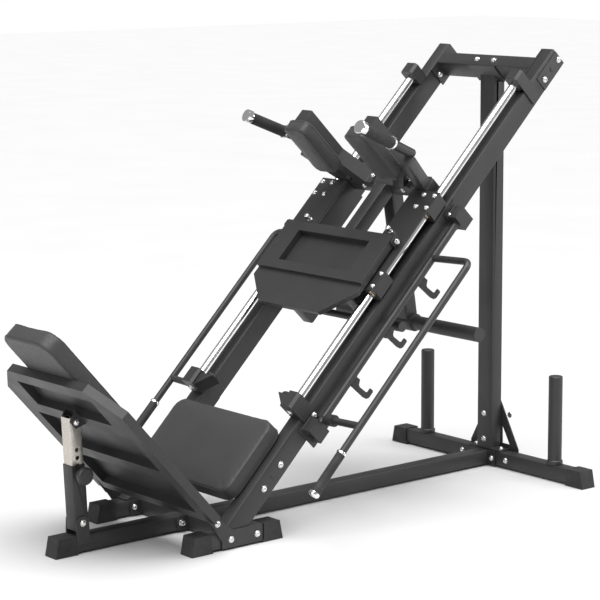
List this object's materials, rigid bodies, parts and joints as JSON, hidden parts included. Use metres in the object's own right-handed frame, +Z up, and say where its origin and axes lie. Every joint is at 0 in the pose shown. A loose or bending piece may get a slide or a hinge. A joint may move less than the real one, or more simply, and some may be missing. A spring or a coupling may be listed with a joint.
{
  "type": "hack squat machine",
  "caption": "Plate-loaded leg press and hack squat machine: padded sled with shoulder pads on sloping guide rods, tilting backrest, safety levers.",
  "frame": {"origin": "on the floor, under the centre of the whole machine's bounding box", "axes": "+X along the machine from the backrest to the upright post, +Y to the left of a person who sits in it and faces the post, +Z up"},
  "size_m": [1.9835, 0.999, 1.4623],
  "materials": {
    "steel": "fine matt charcoal powder coat",
    "chrome": "polished",
    "zinc": "bright zinc plate",
    "bronze": "sintered bronze, oiled",
    "rubber": "matt black",
    "plastic": "black, fine grain",
    "vinyl": "charcoal upholstery vinyl with a soft grain"
  },
  "bodies": {
    "frame": {"base_beam": "steel", "rear_crossbar": "steel", "foot_cap_front": "rubber", "rear_post": "steel", "post_gusset": "steel", "top_crossbar": "steel", "seat_pad": "vinyl", "front_crossbar_left": "steel", "front_crossbar_right": "steel", "foot_beam_left": "steel", "foot_beam_right": "steel", "storage_peg_left": "steel", "storage_peg_right": "steel", "foot_cap_rear_left": "rubber", "foot_cap_rear_right": "rubber", "foot_cap_rail_front_left": "rubber", "foot_cap_rail_front_right": "rubber", "foot_cap_rail_rear_left": "rubber", "foot_cap_rail_rear_right": "rubber", "rail_left": "steel", "rail_right": "steel", "guide_rod_left": "chrome", "guide_rod_right": "chrome", "rod_top_bracket_left": "steel", "rod_top_bracket_right": "steel", "rod_bottom_bracket_left": "steel", "rod_bottom_bracket_right": "steel", "stop_bumper_left": "rubber", "stop_bumper_right": "rubber"},
    "sled": {"sled_frame": "steel", "weight_horn": "steel", "press_plate_pin": "zinc", "bearing_block_upper_left": "steel", "bearing_block_upper_right": "steel", "bearing_block_lower_left": "steel", "bearing_block_lower_right": "steel", "bearing_bush_upper_left": "bronze", "bearing_bush_upper_right": "bronze", "bearing_bush_lower_left": "bronze", "bearing_bush_lower_right": "bronze", "shoulder_arm_left": "steel", "shoulder_arm_right": "steel", "shoulder_pad_left": "vinyl", "shoulder_pad_right": "vinyl", "handle_arm_left": "steel", "handle_arm_right": "steel", "handle_grip_left": "rubber", "handle_grip_right": "rubber"},
    "press_plate": {"press_plate": "steel"},
    "pull_pin_left": {"pull_pin_left": "chrome"},
    "pull_pin_right": {"pull_pin_right": "chrome"},
    "safety_lever_left": {"safety_lever_left": "steel", "lever_grip_left": "rubber"},
    "safety_lever_right": {"safety_lever_right": "steel", "lever_grip_right": "rubber"},
    "backrest": {"backrest_board": "steel", "back_pad": "vinyl"},
    "strut_sleeve": {"strut_sleeve": "steel"},
    "strut_tube": {"strut_tube": "zinc"},
    "pop_pin": {"pop_pin": "plastic"}
  },
  "joints": [
    {"name": "sled_slide", "type": "slide", "parent": "frame", "child": "sled", "axis": [0.7071, 0, 0.7071], "range_m": [-0.369, 0.46]},
    {"name": "press_plate_hinge", "type": "hinge", "parent": "sled", "child": "press_plate", "pos_m": [0.24081, 0, 0.88106], "axis": [0, 1, 0], "range_deg": [0, 90]},
    {"name": "pull_pin_left_slide", "type": "slide", "parent": "sled", "child": "pull_pin_left", "axis": [-0.7071, 0, 0.7071], "range_m": [0, 0.012], "stiffness_N_per_m": 600, "springref_m": -0.01},
    {"name": "pull_pin_right_slide", "type": "slide", "parent": "sled", "child": "pull_pin_right", "axis": [-0.7071, 0, 0.7071], "range_m": [0, 0.012], "stiffness_N_per_m": 600, "springref_m": -0.01},
    {"name": "safety_lever_left_swing", "type": "hinge", "parent": "frame", "child": "safety_lever_left", "pos_m": [0.24081, 0.3, 0.68589], "axis": [0.7071, 0, 0.7071], "range_deg": [-22, 0]},
    {"name": "safety_lever_right_swing", "type": "hinge", "parent": "frame", "child": "safety_lever_right", "pos_m": [0.24081, -0.3, 0.68589], "axis": [0.7071, 0, 0.7071], "range_deg": [0, 22]},
    {"name": "backrest_tilt", "type": "hinge", "parent": "frame", "child": "backrest", "pos_m": [-0.4953, 0, 0.091], "axis": [0, 1, 0], "range_deg": [-14.2, 4.5]},
    {"name": "strut_swing", "type": "hinge", "parent": "frame", "child": "strut_sleeve", "pos_m": [-0.8078, 0, 0.096], "axis": [0, 1, 0], "range_deg": [-17, 5.5]},
    {"name": "strut_extend", "type": "slide", "parent": "strut_sleeve", "child": "strut_tube", "axis": [-0.0478, 0, 0.9989], "range_m": [-0.078, 0.026]},
    {"name": "pop_pin_pull", "type": "slide", "parent": "strut_sleeve", "child": "pop_pin", "axis": [0, -1, 0], "range_m": [0, 0.012], "stiffness_N_per_m": 600, "springref_m": -0.01}
  ],
  "couplings": [
    {"joint": "strut_swing", "follows": "backrest_tilt", "ratio": 1.18},
    {"joint": "strut_extend", "follows": "backrest_tilt", "m_per_rad": 0.312}
  ]
}
